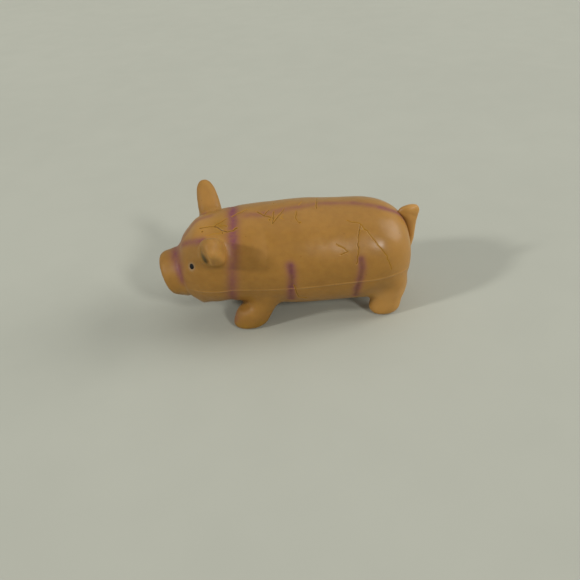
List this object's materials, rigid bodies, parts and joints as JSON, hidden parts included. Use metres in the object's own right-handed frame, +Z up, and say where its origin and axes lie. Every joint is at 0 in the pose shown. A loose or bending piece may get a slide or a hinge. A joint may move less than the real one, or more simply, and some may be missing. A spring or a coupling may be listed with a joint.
{
  "type": "squeaky dog toy",
  "caption": "Pig-shaped squeaky dog toy: a stuffed latex skin on stub legs, with soft snout, leaf ears, curled tail, and flanks that press a bellows squeaker in the belly.",
  "frame": {"origin": "middle of the toy's length and width, at the floor under its soles", "axes": "+X from the snout to the tail, +Y to the pig's right, +Z up"},
  "size_m": [0.2048, 0.1028, 0.0971],
  "materials": {
    "latex": "satin aged latex",
    "latex_patch": "satin latex",
    "fibre": "loose fibre",
    "nylon": "satin",
    "vinyl": "satin",
    "brass": "polished"
  },
  "bodies": {
    "carcass": {"torso_skin": "latex", "head_skin": "latex", "belly_patch": "latex_patch", "body_wadding": "fibre", "head_wadding": "fibre", "vent_button": "nylon", "squeaker_base": "nylon", "squeaker_folds": "vinyl", "reed_holder": "nylon", "reed_clip": "nylon"},
    "left_flank": {"left_flank": "latex"},
    "right_flank": {"right_flank": "latex"},
    "snout": {"snout": "latex"},
    "left_ear": {"left_ear": "latex"},
    "right_ear": {"right_ear": "latex"},
    "tail": {"tail": "latex"},
    "left_front_leg": {"left_front_leg": "latex"},
    "right_front_leg": {"right_front_leg": "latex"},
    "left_hind_leg": {"left_hind_leg": "latex"},
    "right_hind_leg": {"right_hind_leg": "latex"},
    "squeaker_crown": {"squeaker_crown": "vinyl"},
    "reed": {"reed": "brass"}
  },
  "joints": [
    {"name": "left_squeeze", "type": "slide", "parent": "carcass", "child": "left_flank", "axis": [0, 1, 0], "range_m": [0, 0.008], "stiffness_N_per_m": 600, "deforming": ["body_wadding", "squeaker_folds"]},
    {"name": "right_squeeze", "type": "slide", "parent": "carcass", "child": "right_flank", "axis": [0, -1, 0], "range_m": [0, 0.008], "stiffness_N_per_m": 600, "deforming": ["body_wadding"]},
    {"name": "crown_squeeze", "type": "slide", "parent": "carcass", "child": "squeaker_crown", "axis": [0, 0, -1], "range_m": [0, 0.008], "stiffness_N_per_m": 150, "deforming": ["squeaker_folds", "body_wadding"]},
    {"name": "snout_press", "type": "slide", "parent": "carcass", "child": "snout", "axis": [1, 0, 0], "range_m": [0, 0.003], "stiffness_N_per_m": 1200},
    {"name": "left_ear_fold", "type": "hinge", "parent": "carcass", "child": "left_ear", "pos_m": [-0.06019, -0.02533, 0.0734], "axis": [1, 0, 0], "range_deg": [-30, 30], "stiffness_Nm_per_rad": 0.15},
    {"name": "right_ear_fold", "type": "hinge", "parent": "carcass", "child": "right_ear", "pos_m": [-0.06019, 0.02533, 0.0734], "axis": [-1, 0, 0], "range_deg": [-30, 30], "stiffness_Nm_per_rad": 0.15},
    {"name": "tail_lift", "type": "hinge", "parent": "carcass", "child": "tail", "pos_m": [0.0914, 0, 0.05025], "axis": [0, 1, 0], "range_deg": [0, 30], "stiffness_Nm_per_rad": 0.12},
    {"name": "left_front_leg_swing", "type": "hinge", "parent": "carcass", "child": "left_front_leg", "pos_m": [-0.025, -0.02, 0.02355], "axis": [0, 1, 0], "range_deg": [-10, 10], "stiffness_Nm_per_rad": 0.6},
    {"name": "left_hind_leg_swing", "type": "hinge", "parent": "carcass", "child": "left_hind_leg", "pos_m": [0.074, -0.02, 0.02637], "axis": [0, 1, 0], "range_deg": [-10, 10], "stiffness_Nm_per_rad": 0.6},
    {"name": "right_front_leg_swing", "type": "hinge", "parent": "carcass", "child": "right_front_leg", "pos_m": [-0.025, 0.02, 0.02355], "axis": [0, 1, 0], "range_deg": [-10, 10], "stiffness_Nm_per_rad": 0.6},
    {"name": "right_hind_leg_swing", "type": "hinge", "parent": "carcass", "child": "right_hind_leg", "pos_m": [0.074, 0.02, 0.02637], "axis": [0, 1, 0], "range_deg": [-10, 10], "stiffness_Nm_per_rad": 0.6},
    {"name": "reed_lift", "type": "hinge", "parent": "carcass", "child": "reed", "pos_m": [0.0272, 0, 0.02245], "axis": [0, 1, 0], "range_deg": [0, 5], "stiffness_Nm_per_rad": 0.002}
  ],
  "couplings": [
    {"joint": "right_squeeze", "follows": "left_squeeze", "ratio": 1},
    {"joint": "crown_squeeze", "follows": "left_squeeze", "ratio": 1}
  ]
}
